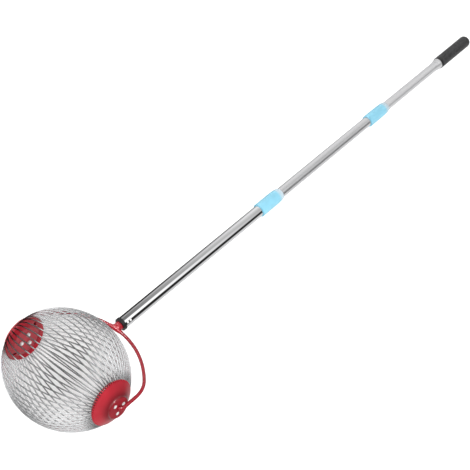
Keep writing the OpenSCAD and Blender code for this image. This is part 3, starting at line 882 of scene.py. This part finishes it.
# The key light stands behind the camera, so that the cage hides its own shadow, and only the cage shades it
key = area_light("key", *KEY_LAMP)
key.light_linking.blocker_collection = grouped("shading", [nodes[name] for name in SHADING] + [wire_piece])

# A wide light overhead for the gloss of the coated and moulded pieces alone
glint = area_light("glint", *GLINT_LAMP)
glint.visible_glossy = True
glint.visible_diffuse = False
glossy_pieces = [nodes[name] for name in COATED] + [socket_piece, grip]
glint.light_linking.receiver_collection = grouped("coated", glossy_pieces)

# A fill light for the far side, which leaves the floor and the cage's wires, screws and nuts alone
fill = area_light("fill", *FILL_LAMP)
filled_pieces = list(nodes.values()) + [socket_piece, rivets, ferrule, grip]
fill.light_linking.receiver_collection = grouped("part", filled_pieces)


# The studio that mirrors see: strip lights and dark gaps round the pole, and a white tent for all other directions

ROOM_LIGHT = 0.26
HARD_STOPS = [
    (-180, 0.5), (-118, 0.4), (-112, 0.01), (-68, 0.01), (-58, 0.38), (-38, 0.42), (-28, 0.11),
    (8, 0.11), (22, 0.24), (31, 1.3), (62, 1.4), (74, 0.02), (104, 0.01), (120, 0.5), (180, 0.5),
]
SOFT_STOPS = [
    (-180, 0.8), (-100, 0.88), (-40, 0.9), (-20, 0.82), (0, 0.64), (25, 0.52),
    (58, 0.5), (70, 0.42), (80, 0.03), (100, 0.02), (114, 0.7), (180, 0.7),
]
SOFT_FROM = 0.44
SOFT_TO = 0.58
TENT_STOPS = [(0.0, 0.5), (0.38, 0.35), (0.45, 0.04), (0.54, 0.04), (0.62, 0.45), (0.76, 0.85), (1.0, 0.95)]
WALL_STOPS = [
    (0.0, 0.5), (0.17, 0.5), (0.26, 1.7), (0.6, 1.7), (0.7, 0.5), (0.74, 0.2), (0.81, 0.2), (0.88, 0.9), (1.0, 1.4),
]
BACK_STOPS = [(0.0, 0.0), (0.85, 0.0), (0.9, 1.2), (1.0, 1.2)]
STRIP_ALONG = 0.52
STRIP_HALF = 0.2
STRIP_FADE = 0.06

world = bpy.data.worlds.new("studio")
bpy.context.scene.world = world
world.use_nodes = True
background = world.node_tree.nodes["Background"]
background.inputs["Color"].default_value = (1, 1, 1, 1)


def half_share(way):
    """A direction's part from -1 to 1 as a share from 0 to 1."""
    return number_math(world, "ADD", number_math(world, "MULTIPLY", way, 0.5), 0.5)


def round_ramp(share, stops):
    """Greys round the pole, from (degrees, level) stops."""
    return ramp(world, share, greys([((stop + 180) / 360, level) for stop, level in stops]))


direction = add_node(world, "ShaderNodeTexCoord")
split = add_node(world, "ShaderNodeSeparateXYZ")
link(world, direction.outputs["Generated"], split.inputs["Vector"])
pole_way, side_way, up_way = (split.outputs[letter] for letter in "XYZ")

# The angle round the pole, from straight up towards the near cap, as a share of a turn
angle = number_math(world, "ARCTAN2", number_math(world, "MULTIPLY", side_way, -1), up_way)
share = number_math(world, "ADD", number_math(world, "DIVIDE", angle, 2 * math.pi), 0.5)
farther = mapped(world, pole_way, From_Min=SOFT_FROM, From_Max=SOFT_TO)
bands = mixed(world, farther, round_ramp(share, HARD_STOPS), round_ramp(share, SOFT_STOPS))

# The tent has a dark gap at the horizon, is brightest in the middle and has another gap before its pale back
by_height = ramp(world, half_share(up_way), greys(TENT_STOPS))
depth = half_share(side_way)
by_depth = ramp(world, depth, greys(WALL_STOPS))
back_wall = ramp(world, depth, greys(BACK_STOPS))
tent = number_math(world, "MAXIMUM", number_math(world, "MULTIPLY", by_height, by_depth), back_wall)

# How far a direction is from those that the pole mirrors towards the camera
off_strip = number_math(world, "ABSOLUTE", number_math(world, "SUBTRACT", pole_way, STRIP_ALONG))
tent_weight = mapped(world, off_strip, From_Min=STRIP_HALF, From_Max=STRIP_HALF + STRIP_FADE)
mirror_light = add_node(world, "ShaderNodeBackground")
link(world, mixed(world, tent_weight, bands, tent), mirror_light.inputs["Color"])
ray = in_mirrors(world, background.outputs["Background"], mirror_light.outputs["Background"], "World Output")
room_level = mapped(world, ray.outputs["Is Camera Ray"], To_Min=ROOM_LIGHT)
link(world, room_level, background.inputs["Strength"])


# Camera, fitted to the photograph's view

CAMERA_PLACE = (-1.05638, -1.06846, 1.57728)
CAMERA_AZIMUTH = math.radians(-41.251)
CAMERA_ELEVATION = math.radians(46.935)
CAMERA_ROLL = math.radians(-9.743)
SENSOR = 36.0
FOCAL_SHARE = 2.41744
CLIP_END = 50

back = Vector((
    math.sin(CAMERA_AZIMUTH) * math.cos(CAMERA_ELEVATION),
    -math.cos(CAMERA_AZIMUTH) * math.cos(CAMERA_ELEVATION),
    math.sin(CAMERA_ELEVATION),
))
level_right = Vector((math.cos(CAMERA_AZIMUTH), math.sin(CAMERA_AZIMUTH), 0))
level_up = back.cross(level_right)
right = math.cos(CAMERA_ROLL) * level_right + math.sin(CAMERA_ROLL) * level_up
up = math.cos(CAMERA_ROLL) * level_up - math.sin(CAMERA_ROLL) * level_right
camera_data = bpy.data.cameras.new("camera")
camera_data.sensor_fit = "HORIZONTAL"
camera_data.sensor_width = SENSOR
camera_data.lens = SENSOR * FOCAL_SHARE
camera_data.clip_end = CLIP_END
camera = bpy.data.objects.new("camera", camera_data)
turned = Matrix((right, up, back)).transposed().to_4x4()
camera.matrix_world = Matrix.Translation(CAMERA_PLACE) @ turned
bpy.context.scene.collection.objects.link(camera)
bpy.context.scene.camera = camera
bpy.context.scene.view_settings.view_transform = "Standard"
